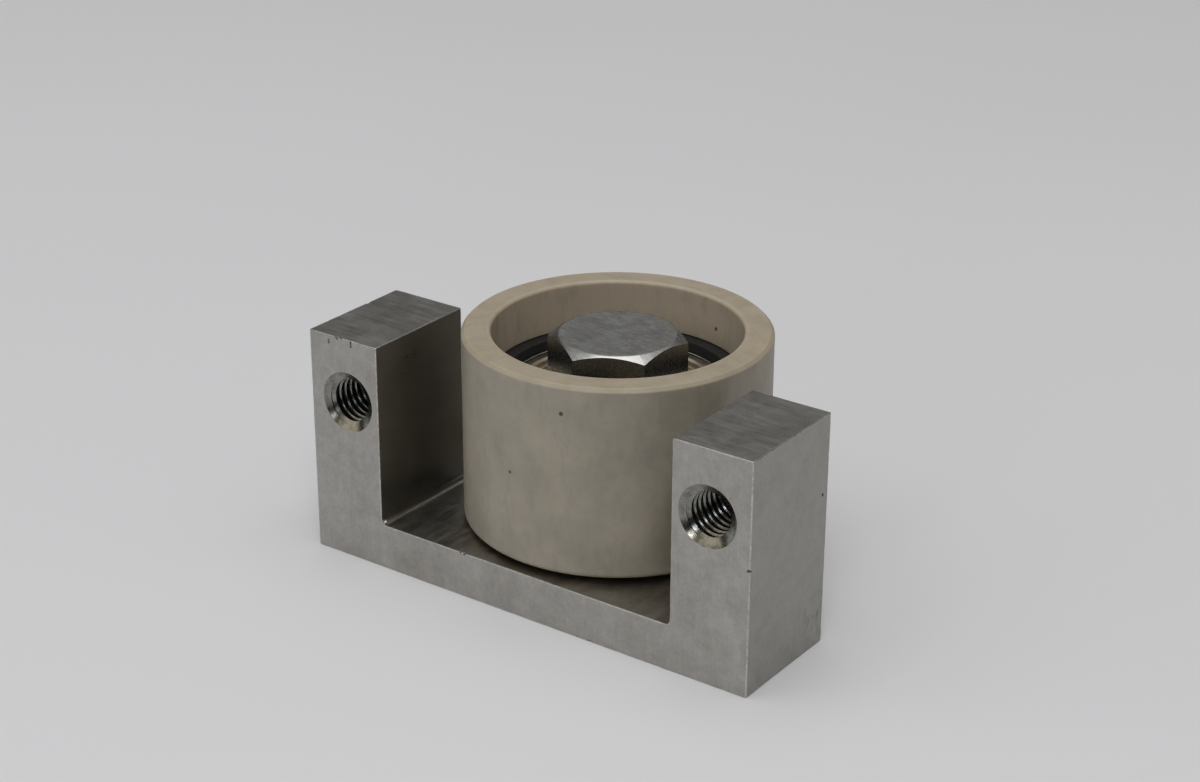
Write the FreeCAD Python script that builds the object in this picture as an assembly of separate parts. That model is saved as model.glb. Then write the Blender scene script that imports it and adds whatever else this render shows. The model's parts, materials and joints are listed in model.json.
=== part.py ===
"""Cam follower: a plastic roller on a double-row ball bearing, bolted to the tongue of a U bracket.

Millimetres, +Z up.  The origin is on the bracket's bottom face, midway between the arms and
midway through their depth.  The roller's axis is vertical and stands behind the arms, so that
the roller's rear face meets the cam.  The two tapped holes open on the front face, at -Y.
"""
import FreeCAD, Part
import math
import os
from FreeCAD import Vector

# Bracket
LENGTH = 100.0
DEPTH = 25.5
ARM_HEIGHT = 46.0
ARM_WIDTH = 16.5
WEB_THICKNESS = 9.2
SLOT_FILLET = 1.2
EDGE_BREAK = 0.25

# Tapped holes through the arms, M10 x 1.5, drawn at the tapping drill's radius
TAP_RADIUS = 4.25
TAP_SPACING = 82.0
TAP_HEIGHT = 33.1
TAP_MOUTH_RADIUS = 6.05
TAP_MOUTH_ANGLE = 118.0

# Tongue under the roller
AXIS_Y = 18.2
TONGUE_RADIUS = 20.0
TONGUE_FILLET = 5.0

# Roller
ROLLER_RADIUS = 29.6
ROLLER_BOTTOM = 10.2
ROLLER_TOP = 48.35
ROLLER_RECESS_RADIUS = 23.95
ROLLER_OUTER_CHAMFER = 0.6
ROLLER_INNER_CHAMFER = 0.5

# Double-row ball bearing, 20 x 47 x 20.6
BEARING_BORE_RADIUS = 10.0
BEARING_OUTER_RADIUS = 23.5
BEARING_WIDTH = 20.6
BEARING_TOP = 36.85
INNER_LAND_RADIUS = 14.0
OUTER_LAND_RADIUS = 19.5
PITCH_RADIUS = 16.75
ROW_OFFSET = 4.5
BALL_RADIUS = 3.95
BALL_CLEARANCE = 0.07
BALLS_PER_ROW = 9
RING_CHAMFER = 0.6
SHIELD_SEAT_RADIUS = 20.5
SHIELD_SEAT_DEPTH = 1.1
SHIELD_THICKNESS = 0.35
SHIELD_RECESS = 0.65
SHIELD_LIP_INNER = 19.0
SHIELD_LIP_OUTER = 19.9
SHIELD_LIP_RISE = 0.4
SHIELD_GAP = 0.25
CAGE_INNER_RADIUS = 14.9
CAGE_OUTER_RADIUS = 18.6
CAGE_FINGER = 0.9
CAGE_BACK = 4.5
POCKET_CLEARANCE = 0.1

# Retaining rings for a 47 mm bore, 1.75 thick, in grooves beside the bearing
CLIP_THICKNESS = 1.75
CLIP_GROOVE_WIDTH = 1.85
CLIP_GROOVE_RADIUS = 24.75
CLIP_OUTER_RADIUS = 24.6
CLIP_INNER_RADIUS = 21.5
CLIP_INNER_OFFSET = 0.35
CLIP_GAP_HALF_ANGLE = 12.0
CLIP_LUG_ANGLE = 8.0
CLIP_LUG_INNER_RADIUS = 18.4
CLIP_LUG_HOLE_RADIUS = 1.1
CLIP_LUG_HOLE_PITCH = 20.4
CLIP_DIRECTION = -54.0

# Axle bolt, M16 x 35, drawn at the tapping drill's radius where it is screwed into the tongue
HEAD_FLATS = 23.4
HEAD_HEIGHT = 10.2
WASHER_FACE_HEIGHT = 0.4
WASHER_FACE_RADIUS = 11.2
HEAD_TOP_RADIUS = 11.3
HEAD_CHAMFER_ANGLE = 30.0
HEAD_TURN = 27.0
SHANK_RADIUS = 7.95
SHANK_LENGTH = 35.0
SHANK_CHAMFER = 0.8
TONGUE_TAP_RADIUS = 7.0

# Sleeve between bolt and bearing, and spacer between tongue and inner ring
SLEEVE_BORE_RADIUS = 8.1
SPACER_OUTER_RADIUS = 13.5

# Worked out from the above
SLOT_HALF = LENGTH / 2 - ARM_WIDTH
BEARING_BOTTOM = BEARING_TOP - BEARING_WIDTH
BEARING_MID = BEARING_TOP - BEARING_WIDTH / 2
RACE_RADIUS = BALL_RADIUS + BALL_CLEARANCE


def at_axis(shape):
    """Move a shape modelled about the Z axis onto the roller's axis."""
    shape.translate(Vector(0, AXIS_Y, 0))
    return shape


def turned(profile):
    """Solid of revolution about Z from a closed outline of (radius, height) points."""
    points = [Vector(r, 0, z) for r, z in profile]
    face = Part.Face(Part.makePolygon(points + points[:1]))
    return face.revolve(Vector(0, 0, 0), Vector(0, 0, 1), 360)


def tube(inner, outer, bottom, top, chamfer=0.0):
    """Ring between two radii, with all four edges broken by an optional chamfer."""
    if chamfer == 0.0:
        return turned([(inner, bottom), (outer, bottom), (outer, top), (inner, top)])
    return turned([
        (inner + chamfer, bottom), (outer - chamfer, bottom), (outer, bottom + chamfer),
        (outer, top - chamfer), (outer - chamfer, top), (inner + chamfer, top),
        (inner, top - chamfer), (inner, bottom + chamfer),
    ])


def mirrored_in_bearing(shape):
    """The same piece at the other end of the bearing."""
    return shape.mirror(Vector(0, 0, BEARING_MID), Vector(0, 0, 1))


def ball_centres(row_z):
    for i in range(BALLS_PER_ROW):
        angle = 2 * math.pi * i / BALLS_PER_ROW
        yield Vector(PITCH_RADIUS * math.cos(angle), PITCH_RADIUS * math.sin(angle), row_z)


def bracket():
    """U block and rounded tongue in one piece, with the tapped holes."""
    block = Part.makeBox(LENGTH, DEPTH, ARM_HEIGHT, Vector(-LENGTH / 2, -DEPTH / 2, 0))
    slot = Part.makeBox(
        2 * SLOT_HALF, DEPTH + 2, ARM_HEIGHT, Vector(-SLOT_HALF, -DEPTH / 2 - 1, WEB_THICKNESS))
    floor_corners = [
        e for e in slot.Edges
        if abs(e.CenterOfMass.z - WEB_THICKNESS) < 0.01 and abs(abs(e.CenterOfMass.x) - SLOT_HALF) < 0.01
    ]
    body = block.cut(slot.makeFillet(SLOT_FILLET, floor_corners))
    body = break_edges(body)
    body = body.fuse(tongue()).removeSplitter()
    for side in (-1, 1):
        body = body.cut(tapped_hole(side * TAP_SPACING / 2))
    pilot = Part.makeCylinder(TONGUE_TAP_RADIUS, WEB_THICKNESS + 2, Vector(0, AXIS_Y, -1))
    return body.cut(pilot)


def break_edges(body):
    """Chamfer the block's straight outer edges, but leave those on the bottom and at the back."""
    def outer(edge):
        c = edge.CenterOfMass
        on_front = abs(c.y + DEPTH / 2) < 0.01
        on_top = abs(c.z - ARM_HEIGHT) < 0.01
        on_end = abs(abs(c.x) - LENGTH / 2) < 0.01 and abs(c.z - ARM_HEIGHT / 2) < 1.0
        straight = isinstance(edge.Curve, Part.Line)
        return straight and c.z > 0.01 and (on_front or on_top or on_end)
    return body.makeChamfer(EDGE_BREAK, [e for e in body.Edges if outer(e)])


def tongue():
    """Plate under the roller: straight sides, a round end about the roller's axis, filleted roots."""
    back = DEPTH / 2
    r = TONGUE_RADIUS
    f = TONGUE_FILLET
    left_arc = Part.Arc(
        Vector(-r - f, back, 0),
        Vector(-r - f * (1 - math.sin(math.pi / 4)), back + f * (1 - math.cos(math.pi / 4)), 0),
        Vector(-r, back + f, 0))
    end_arc = Part.Arc(Vector(-r, AXIS_Y, 0), Vector(0, AXIS_Y + r, 0), Vector(r, AXIS_Y, 0))
    right_arc = Part.Arc(
        Vector(r, back + f, 0),
        Vector(r + f * (1 - math.sin(math.pi / 4)), back + f * (1 - math.cos(math.pi / 4)), 0),
        Vector(r + f, back, 0))
    edges = [
        left_arc.toShape(),
        Part.LineSegment(Vector(-r, back + f, 0), Vector(-r, AXIS_Y, 0)).toShape(),
        end_arc.toShape(),
        Part.LineSegment(Vector(r, AXIS_Y, 0), Vector(r, back + f, 0)).toShape(),
        right_arc.toShape(),
        Part.LineSegment(Vector(r + f, back, 0), Vector(r + f, 0, 0)).toShape(),
        Part.LineSegment(Vector(r + f, 0, 0), Vector(-r - f, 0, 0)).toShape(),
        Part.LineSegment(Vector(-r - f, 0, 0), Vector(-r - f, back, 0)).toShape(),
    ]
    return Part.Face(Part.Wire(edges)).extrude(Vector(0, 0, WEB_THICKNESS))


def tapped_hole(x):
    """Tapping-drill bore right through an arm, with a drill-point countersink at each mouth."""
    sink = (TAP_MOUTH_RADIUS - TAP_RADIUS) / math.tan(math.radians(TAP_MOUTH_ANGLE / 2))
    front = Vector(x, -DEPTH / 2, TAP_HEIGHT)
    back = Vector(x, DEPTH / 2, TAP_HEIGHT)
    bore = Part.makeCylinder(TAP_RADIUS, DEPTH + 2, front - Vector(0, 1, 0), Vector(0, 1, 0))
    front_cone = Part.makeCone(TAP_MOUTH_RADIUS, TAP_RADIUS, sink, front, Vector(0, 1, 0))
    back_cone = Part.makeCone(TAP_MOUTH_RADIUS, TAP_RADIUS, sink, back, Vector(0, -1, 0))
    return bore.fuse([front_cone, back_cone])


def roller():
    """Tyre with a bearing seat, a retaining-ring groove each side of it and an open recess each end."""
    co = ROLLER_OUTER_CHAMFER
    ci = ROLLER_INNER_CHAMFER
    groove_top = BEARING_TOP + CLIP_GROOVE_WIDTH
    groove_bottom = BEARING_BOTTOM - CLIP_GROOVE_WIDTH
    return turned([
        (ROLLER_RECESS_RADIUS + ci, ROLLER_BOTTOM), (ROLLER_RADIUS - co, ROLLER_BOTTOM),
        (ROLLER_RADIUS, ROLLER_BOTTOM + co), (ROLLER_RADIUS, ROLLER_TOP - co),
        (ROLLER_RADIUS - co, ROLLER_TOP), (ROLLER_RECESS_RADIUS + ci, ROLLER_TOP),
        (ROLLER_RECESS_RADIUS, ROLLER_TOP - ci), (ROLLER_RECESS_RADIUS, groove_top),
        (CLIP_GROOVE_RADIUS, groove_top), (CLIP_GROOVE_RADIUS, BEARING_TOP),
        (BEARING_OUTER_RADIUS, BEARING_TOP), (BEARING_OUTER_RADIUS, BEARING_BOTTOM),
        (CLIP_GROOVE_RADIUS, BEARING_BOTTOM), (CLIP_GROOVE_RADIUS, groove_bottom),
        (ROLLER_RECESS_RADIUS, groove_bottom), (ROLLER_RECESS_RADIUS, ROLLER_BOTTOM + ci),
    ])


def race_grooves(ring):
    """Cut the two ball grooves, one for each row."""
    for side in (-1, 1):
        centre = Vector(0, 0, BEARING_MID + side * ROW_OFFSET)
        ring = ring.cut(Part.makeTorus(PITCH_RADIUS, RACE_RADIUS, centre))
    return ring


def bearing_inner_ring():
    ring = tube(BEARING_BORE_RADIUS, INNER_LAND_RADIUS, BEARING_BOTTOM, BEARING_TOP, RING_CHAMFER)
    return race_grooves(ring)


def bearing_outer_ring():
    """Outer ring with a shield seat at each end."""
    c = RING_CHAMFER
    seat_top = BEARING_TOP - SHIELD_SEAT_DEPTH
    seat_bottom = BEARING_BOTTOM + SHIELD_SEAT_DEPTH
    ring = turned([
        (SHIELD_SEAT_RADIUS, BEARING_BOTTOM), (BEARING_OUTER_RADIUS - c, BEARING_BOTTOM),
        (BEARING_OUTER_RADIUS, BEARING_BOTTOM + c), (BEARING_OUTER_RADIUS, BEARING_TOP - c),
        (BEARING_OUTER_RADIUS - c, BEARING_TOP), (SHIELD_SEAT_RADIUS, BEARING_TOP),
        (SHIELD_SEAT_RADIUS, seat_top), (OUTER_LAND_RADIUS, seat_top),
        (OUTER_LAND_RADIUS, seat_bottom), (SHIELD_SEAT_RADIUS, seat_bottom),
    ])
    return race_grooves(ring)


def shield():
    """Pressed steel shield of the upper end: a rim in the seat, a raised lip and a flat disc."""
    t = SHIELD_THICKNESS
    seat = BEARING_TOP - SHIELD_SEAT_DEPTH
    disc = BEARING_TOP - SHIELD_RECESS
    lip = disc + SHIELD_LIP_RISE
    return turned([
        (SHIELD_SEAT_RADIUS, seat), (SHIELD_SEAT_RADIUS, seat + t),
        (SHIELD_LIP_OUTER, seat + t), (SHIELD_LIP_OUTER, lip),
        (SHIELD_LIP_INNER, lip), (SHIELD_LIP_INNER - t, disc),
        (INNER_LAND_RADIUS + SHIELD_GAP, disc), (INNER_LAND_RADIUS + SHIELD_GAP, disc - t),
        (SHIELD_LIP_INNER, disc - t), (SHIELD_LIP_OUTER - t, seat),
    ])


def balls(side):
    """One row of balls as a group of separate solids."""
    row_z = BEARING_MID + side * ROW_OFFSET
    return Part.makeCompound([Part.makeSphere(BALL_RADIUS, c) for c in ball_centres(row_z)])


def cage():
    """Snap cage of the upper row: a ring behind the balls, with fingers that reach past their middle."""
    row_z = BEARING_MID + ROW_OFFSET
    ring = tube(CAGE_INNER_RADIUS, CAGE_OUTER_RADIUS, row_z - CAGE_FINGER, row_z + CAGE_BACK)
    for centre in ball_centres(row_z):
        ring = ring.cut(Part.makeSphere(BALL_RADIUS + POCKET_CLEARANCE, centre))
    return ring


def retaining_ring():
    """Internal retaining ring above the bearing: widest opposite its gap, with two pierced lugs."""
    bottom = BEARING_TOP
    axis = Vector(0, 0, 1)
    ring = Part.makeCylinder(CLIP_OUTER_RADIUS, CLIP_THICKNESS, Vector(0, 0, bottom))
    ring = ring.cut(Part.makeCylinder(
        CLIP_INNER_RADIUS, CLIP_THICKNESS, Vector(CLIP_INNER_OFFSET, 0, bottom)))
    gap = wedge(0, CLIP_OUTER_RADIUS + 1, CLIP_GAP_HALF_ANGLE, bottom)
    ring = ring.cut(gap)
    for side in (-1, 1):
        middle = side * (CLIP_GAP_HALF_ANGLE + CLIP_LUG_ANGLE)
        lug = wedge(CLIP_LUG_INNER_RADIUS, CLIP_OUTER_RADIUS, CLIP_LUG_ANGLE, bottom)
        hole = Part.makeCylinder(
            CLIP_LUG_HOLE_RADIUS, CLIP_THICKNESS, Vector(CLIP_LUG_HOLE_PITCH, 0, bottom))
        lug = lug.cut(hole)
        lug.rotate(Vector(0, 0, 0), axis, middle)
        clear = hole.copy()
        clear.rotate(Vector(0, 0, 0), axis, middle)
        ring = ring.fuse(lug).cut(clear)
    ring = ring.removeSplitter()
    ring.rotate(Vector(0, 0, 0), axis, CLIP_DIRECTION)
    return ring


def wedge(inner, outer, half_angle, bottom):
    """Sector of a ring, centred on +X, as thick as a retaining ring."""
    full = Part.makeCylinder(outer, CLIP_THICKNESS, Vector(0, 0, bottom), Vector(0, 0, 1), 2 * half_angle)
    full.rotate(Vector(0, 0, 0), Vector(0, 0, 1), -half_angle)
    if inner == 0:
        return full
    return full.cut(Part.makeCylinder(inner, CLIP_THICKNESS, Vector(0, 0, bottom)))


def axle_bolt():
    """Hex head with a domed chamfer and a washer face, plain shank, reduced where it is screwed in."""
    head_bottom = BEARING_TOP
    head_top = head_bottom + HEAD_HEIGHT
    corner = HEAD_FLATS / math.sqrt(3)
    points = [
        Vector(corner * math.cos(math.radians(HEAD_TURN + 60 * i)),
               corner * math.sin(math.radians(HEAD_TURN + 60 * i)), head_bottom + WASHER_FACE_HEIGHT)
        for i in range(6)
    ]
    hexagon = Part.Face(Part.makePolygon(points + points[:1]))
    prism = hexagon.extrude(Vector(0, 0, HEAD_HEIGHT - WASHER_FACE_HEIGHT))
    fall = (corner + 1 - HEAD_TOP_RADIUS) * math.tan(math.radians(HEAD_CHAMFER_ANGLE))
    crown = turned([
        (0, head_bottom), (corner + 1, head_bottom), (corner + 1, head_top - fall),
        (HEAD_TOP_RADIUS, head_top), (0, head_top),
    ])
    washer_face = Part.makeCylinder(WASHER_FACE_RADIUS, WASHER_FACE_HEIGHT, Vector(0, 0, head_bottom))
    end = head_bottom - SHANK_LENGTH
    c = SHANK_CHAMFER
    shank = turned([
        (0, end), (TONGUE_TAP_RADIUS - c, end), (TONGUE_TAP_RADIUS, end + c),
        (TONGUE_TAP_RADIUS, WEB_THICKNESS), (SHANK_RADIUS, WEB_THICKNESS + SHANK_RADIUS - TONGUE_TAP_RADIUS),
        (SHANK_RADIUS, head_bottom), (0, head_bottom),
    ])
    return prism.common(crown).fuse([washer_face, shank]).removeSplitter()


def bearing_sleeve():
    return tube(SLEEVE_BORE_RADIUS, BEARING_BORE_RADIUS, WEB_THICKNESS, BEARING_TOP)


def base_spacer():
    return tube(BEARING_BORE_RADIUS, SPACER_OUTER_RADIUS, WEB_THICKNESS, BEARING_BOTTOM)


parts = {
    "bracket": bracket(),
    "roller": at_axis(roller()),
    "axle_bolt": at_axis(axle_bolt()),
    "bearing_sleeve": at_axis(bearing_sleeve()),
    "base_spacer": at_axis(base_spacer()),
    "bearing_inner_ring": at_axis(bearing_inner_ring()),
    "bearing_outer_ring": at_axis(bearing_outer_ring()),
    "upper_balls": at_axis(balls(1)),
    "lower_balls": at_axis(balls(-1)),
    "upper_cage": at_axis(cage()),
    "lower_cage": at_axis(mirrored_in_bearing(cage())),
    "upper_shield": at_axis(shield()),
    "lower_shield": at_axis(mirrored_in_bearing(shield())),
    "upper_retaining_ring": at_axis(retaining_ring()),
    "lower_retaining_ring": at_axis(mirrored_in_bearing(retaining_ring())),
}

os.makedirs("parts", exist_ok=True)
for name, shape in parts.items():
    print(name, "valid" if shape.isValid() else "INVALID", len(shape.Solids), round(shape.Volume, 1))
    shape.exportStep("parts/" + name + ".step")
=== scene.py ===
"""Looks of the cam follower: steel U bracket, plastic roller, hex bolt and shielded bearing.

Meshes are modelled in millimetres in the CAD frame and turned into metres at the end.
"""

import json
import math

import bmesh
import bpy
from mathutils import Matrix, Vector, noise


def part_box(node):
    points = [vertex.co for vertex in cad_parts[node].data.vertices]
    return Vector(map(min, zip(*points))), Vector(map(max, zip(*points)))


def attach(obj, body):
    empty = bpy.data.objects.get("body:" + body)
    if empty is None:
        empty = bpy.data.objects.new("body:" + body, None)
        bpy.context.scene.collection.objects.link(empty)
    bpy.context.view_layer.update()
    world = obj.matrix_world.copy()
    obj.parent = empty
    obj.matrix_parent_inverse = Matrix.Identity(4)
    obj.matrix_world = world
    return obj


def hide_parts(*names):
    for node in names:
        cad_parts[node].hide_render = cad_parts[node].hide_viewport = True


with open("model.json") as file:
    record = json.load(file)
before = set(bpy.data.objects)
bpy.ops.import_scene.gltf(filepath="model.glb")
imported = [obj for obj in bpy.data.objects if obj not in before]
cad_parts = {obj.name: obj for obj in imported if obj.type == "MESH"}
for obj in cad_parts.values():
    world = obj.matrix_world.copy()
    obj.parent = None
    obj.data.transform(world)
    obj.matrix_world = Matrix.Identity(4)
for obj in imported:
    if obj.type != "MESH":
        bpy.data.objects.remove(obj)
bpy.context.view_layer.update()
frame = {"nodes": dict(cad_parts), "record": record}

MM = 0.001


def box_mm(node):
    """Lowest and highest corner of a CAD node, in millimetres."""
    low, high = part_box(node)
    return low / MM, high / MM


# ---------------------------------------------------------------- sizes from the frame
BRACKET_LOW, BRACKET_HIGH = box_mm("bracket")
ROLLER_LOW, ROLLER_HIGH = box_mm("roller")
BEARING_LOW, BEARING_HIGH = box_mm("bearing_outer_ring")
BOLT_LOW, BOLT_HIGH = box_mm("axle_bolt")
SPACER_LOW, SPACER_HIGH = box_mm("base_spacer")
MOUNTS = {m["name"]: m for m in frame["record"]["mounts"]}

HALF_LENGTH = BRACKET_HIGH.x
ARM_HEIGHT = BRACKET_HIGH.z
FRONT_Y = BRACKET_LOW.y
BACK_Y = -FRONT_Y
TONGUE_END = BRACKET_HIGH.y
AXIS = Vector(((ROLLER_LOW.x + ROLLER_HIGH.x) / 2, (ROLLER_LOW.y + ROLLER_HIGH.y) / 2, 0))
ROLLER_RADIUS = (ROLLER_HIGH.x - ROLLER_LOW.x) / 2
WEB_TOP = SPACER_LOW.z
BEARING_TOP = BEARING_HIGH.z
BEARING_MID = (BEARING_LOW.z + BEARING_HIGH.z) / 2
BEARING_RADIUS = (BEARING_HIGH.x - BEARING_LOW.x) / 2
TAP_X = abs(MOUNTS["left_tapped_hole"]["pos_m"][0]) / MM
TAP_Z = MOUNTS["left_tapped_hole"]["pos_m"][2] / MM
TAP_MINOR = MOUNTS["left_tapped_hole"]["dims"]["r_mm"]

# ---------------------------------------------------------------- sizes of details
ARM_WIDTH = 16.5
SLOT_HALF = HALF_LENGTH - ARM_WIDTH
SLOT_FILLET = 1.2
TONGUE_RADIUS = TONGUE_END - AXIS.y
TONGUE_FILLET = 5.0
EDGE_ROUND = 0.22
TAP_MAJOR = 5.0
TAP_PITCH = 1.5
TAP_MOUTH = 6.05
TAP_MOUTH_ANGLE = 118
BOLT_MAJOR = 7.95
BOLT_MINOR = 6.75
BOLT_PITCH = 2.0
RECESS_RADIUS = 23.95
GROOVE_RADIUS = 24.75
GROOVE_WIDTH = 1.85
HEAD_APOTHEM = 11.7
HEAD_TOP_RADIUS = 11.3
HEAD_HEIGHT = BOLT_HIGH.z - BEARING_TOP
HEAD_TURN = math.radians(27)
WASHER_FACE = 0.4
WASHER_FACE_RADIUS = 11.2
SHIELD_SEAT_RADIUS = 20.5
SHIELD_SEAT_DEPTH = 1.1
SHIELD_THICKNESS = 0.35
SHIELD_RECESS = 0.65
SHIELD_LIP_RISE = 0.4
SHIELD_INNER = 14.25
BEARING_BORE = 10.0
INNER_LAND_RADIUS = 14.0
OUTER_LAND_RADIUS = 19.5
CLIP_OUTER = 24.6
CLIP_INNER = 21.5
CLIP_OFFSET = 0.35
CLIP_THICKNESS = 1.75
CLIP_TURN = -54.0
CLIP_GAP = 12.0
CLIP_LUG = 8.0
CLIP_LUG_INNER = 18.4
CLIP_HOLE = 1.1
CLIP_HOLE_PITCH = 20.4
PITCH_RADIUS = 16.75
RACE_RADIUS = 4.02
ROW_OFFSET = 4.5


# ---------------------------------------------------------------- mesh tools
def mesh_object(name, bm, materials):
    """Object in metres from a bmesh in millimetres."""
    bmesh.ops.recalc_face_normals(bm, faces=bm.faces)
    bm.transform(Matrix.Scale(MM, 4))
    mesh = bpy.data.meshes.new(name)
    bm.to_mesh(mesh)
    bm.free()
    for material in materials:
        mesh.materials.append(material)
    obj = bpy.data.objects.new(name, mesh)
    bpy.context.scene.collection.objects.link(obj)
    return obj


def apply_modifiers(obj):
    bpy.context.view_layer.update()
    evaluated = obj.evaluated_get(bpy.context.evaluated_depsgraph_get())
    mesh = bpy.data.meshes.new_from_object(evaluated)
    old = obj.data
    obj.modifiers.clear()
    obj.data = mesh
    bpy.data.meshes.remove(old)
    mesh.name = obj.name


def combine(obj, tool, operation):
    """Exact boolean with a tool object, which is used up."""
    modifier = obj.modifiers.new("combine", "BOOLEAN")
    modifier.object = tool
    modifier.operation = operation
    modifier.solver = "EXACT"
    modifier.material_mode = "INDEX"
    apply_modifiers(obj)
    bpy.data.meshes.remove(tool.data)


def smooth(obj, angle=32, cut_materials=()):
    """Smooth shading that stays crisp at sharp edges, round cut patches, and flat on large faces."""
    obj.data.shade_smooth()
    obj.data.set_sharp_from_angle(angle=math.radians(angle))
    bm = bmesh.new()
    bm.from_mesh(obj.data)
    for edge in bm.edges:
        kinds = {face.material_index for face in edge.link_faces}
        if len(kinds) > 1 and kinds & set(cut_materials):
            edge.smooth = False
    bm.to_mesh(obj.data)
    bm.free()
    modifier = obj.modifiers.new("flat faces", "WEIGHTED_NORMAL")
    modifier.keep_sharp = True
    apply_modifiers(obj)


def arc(cx, cy, radius, start, end, steps):
    """Points on an arc, angles in degrees."""
    angles = [math.radians(start + (end - start) * i / steps) for i in range(steps + 1)]
    return [(cx + radius * math.cos(a), cy + radius * math.sin(a)) for a in angles]


def rounded(corners, steps=5):
    """Closed outline from (x, y, radius) corners, each replaced by an arc of its radius."""
    outline = []
    count = len(corners)
    for i, (x, y, radius) in enumerate(corners):
        here = Vector((x, y))
        if radius == 0:
            outline.append((x, y))
            continue
        before = (Vector(corners[i - 1][:2]) - here).normalized()
        after = (Vector(corners[(i + 1) % count][:2]) - here).normalized()
        half = before.angle(after) / 2
        centre = here + (before + after).normalized() * (radius / math.sin(half))
        first = here + before * (radius / math.tan(half)) - centre
        last = here + after * (radius / math.tan(half)) - centre
        for step in range(steps + 1):
            share = step / steps
            turn = first.lerp(last, share).normalized()
            outline.append(tuple(centre + turn * radius))
    return outline


def about_axis(x, y, z):
    """A point given from the roller's axis."""
    return (AXIS.x + x, AXIS.y + y, z)


def lathe(bm, profile, segments=192, place=about_axis, material=0):
    """Closed (radius, height) profile turned about an axis; place gives the 3D point.

    Points of radius 0 stand on the axis and are made once.
    """
    poles = {i: bm.verts.new(place(0, 0, h)) for i, (r, h) in enumerate(profile) if r == 0}
    rings = []
    for step in range(segments):
        a = 2 * math.pi * step / segments
        c, s = math.cos(a), math.sin(a)
        rings.append([
            poles.get(i) or bm.verts.new(place(r * c, r * s, h)) for i, (r, h) in enumerate(profile)
        ])
    count = len(profile)
    for step in range(segments):
        this, other = rings[step], rings[(step + 1) % segments]
        for i in range(count):
            j = (i + 1) % count
            corners = list(dict.fromkeys((this[i], other[i], other[j], this[j])))
            if len(corners) > 2:
                bm.faces.new(corners).material_index = material


def prism(bm, outline, low, high, place):
    """Extrude a closed 2D outline between two heights; place(x, y, h) gives the 3D point."""
    bottom = [bm.verts.new(place(x, y, low)) for x, y in outline]
    top = [bm.verts.new(place(x, y, high)) for x, y in outline]
    bm.faces.new(bottom[::-1])
    bm.faces.new(top)
    for i in range(len(outline)):
        j = (i + 1) % len(outline)
        bm.faces.new((bottom[i], bottom[j], top[j], top[i]))


def thread_solid(bm, origin, along, minor, major, pitch, length, crest, root, material=0, segments=72):
    """Cylinder with a right-hand thread, from origin along a direction.

    crest and root are the shares of the pitch that lie flat at the major and at the minor radius.
    The rows follow the helix, so that every edge of the thread is clean.
    """
    along = along.normalized()
    side = along.orthogonal().normalized()
    other = along.cross(side)
    flank = (1 - crest - root) / 2
    marks = [(0, major), (crest, major)]
    marks += [(crest + flank * k / 3, major + (minor - major) * k / 3) for k in (1, 2)]
    marks += [(crest + flank, minor), (crest + flank + root, minor)]
    marks += [(crest + flank + root + flank * k / 3, minor + (major - minor) * k / 3) for k in (1, 2)]
    turns = int(length / pitch)
    rows = [(turn + share, radius) for turn in range(turns) for share, radius in marks]
    rows.append((turns, major))
    per_turn = len(marks)
    columns = []
    for step in range(segments):
        a = 2 * math.pi * step / segments
        out = side * math.cos(a) + other * math.sin(a)
        rise = step / segments
        columns.append([
            bm.verts.new(origin + out * radius + along * pitch * (position + rise))
            for position, radius in rows
        ])
    for step in range(segments):
        wrap = step == segments - 1
        this = columns[step]
        following = columns[(step + 1) % segments]
        shift = per_turn if wrap else 0
        for i in range(len(rows) - 1):
            if i + 1 + shift >= len(rows):
                break
            face = bm.faces.new((this[i], following[i + shift], following[i + 1 + shift], this[i + 1]))
            face.material_index = material
    close_thread_end(bm, origin, [c[0] for c in columns] + columns[0][per_turn:0:-1], material)
    last = len(rows) - 1
    tail = columns[-1][last - per_turn:last]
    loop = [c[last] for c in columns] + tail[::-1]
    close_thread_end(bm, origin + along * pitch * (turns + 0.5), loop, material)


def close_thread_end(bm, centre, loop, material):
    """Fan from a point on the axis to the end of a thread."""
    hub = bm.verts.new(centre)
    for i in range(len(loop)):
        face = bm.faces.new((hub, loop[i], loop[(i + 1) % len(loop)]))
        face.material_index = material


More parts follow.
